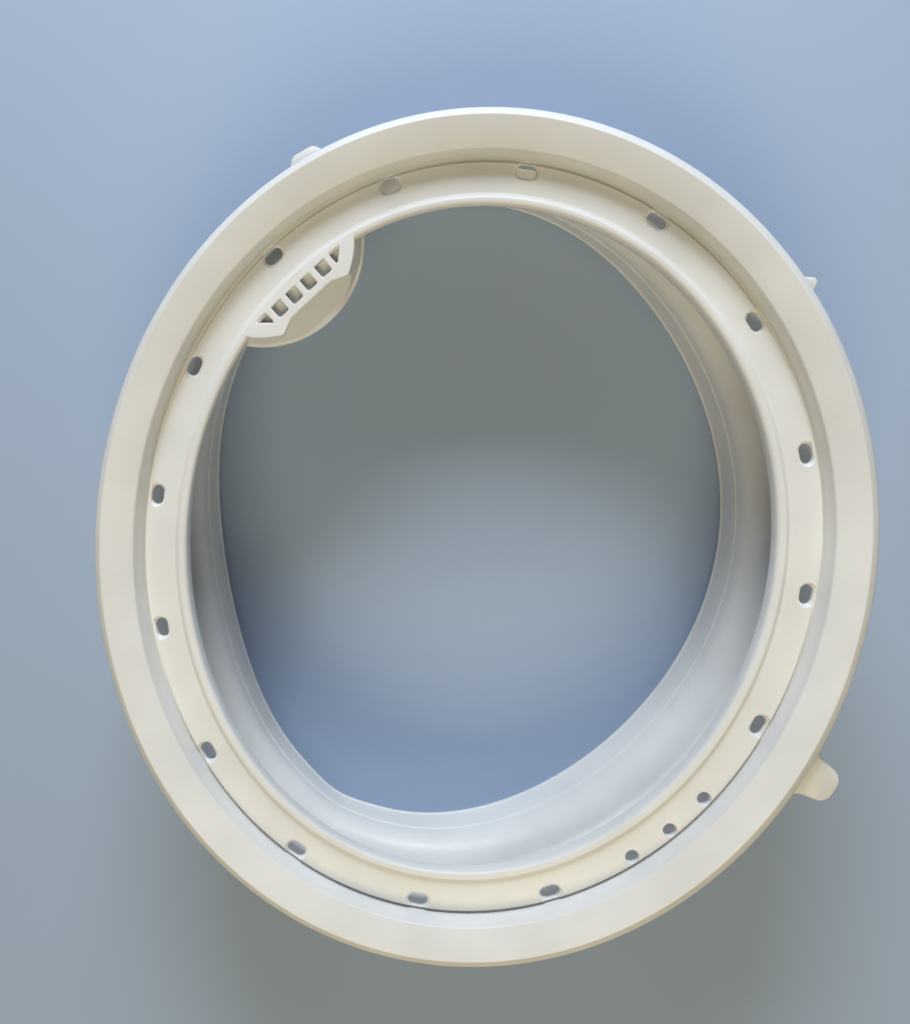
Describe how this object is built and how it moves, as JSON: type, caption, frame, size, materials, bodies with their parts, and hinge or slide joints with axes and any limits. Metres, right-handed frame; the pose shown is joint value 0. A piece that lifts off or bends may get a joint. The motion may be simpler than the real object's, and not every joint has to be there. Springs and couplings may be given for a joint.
{
  "type": "washing machine door seal",
  "caption": "Round one-piece rubber bellows seal for a front-loading washer's door, with a broad front rim, a drilled lip, a grille hood and a collar for the tub.",
  "frame": {"origin": "centre of the tub collar's open end, which the seal rests on", "axes": "+Z along the seal's axis from the tub end to the door side, +Y towards the grille hood, which is the top when fitted"},
  "size_m": [0.3852, 0.3832, 0.115],
  "materials": {
    "grey_rubber": "satin"
  },
  "bodies": {
    "root": {"door_seal": "grey_rubber"}
  },
  "joints": []
}
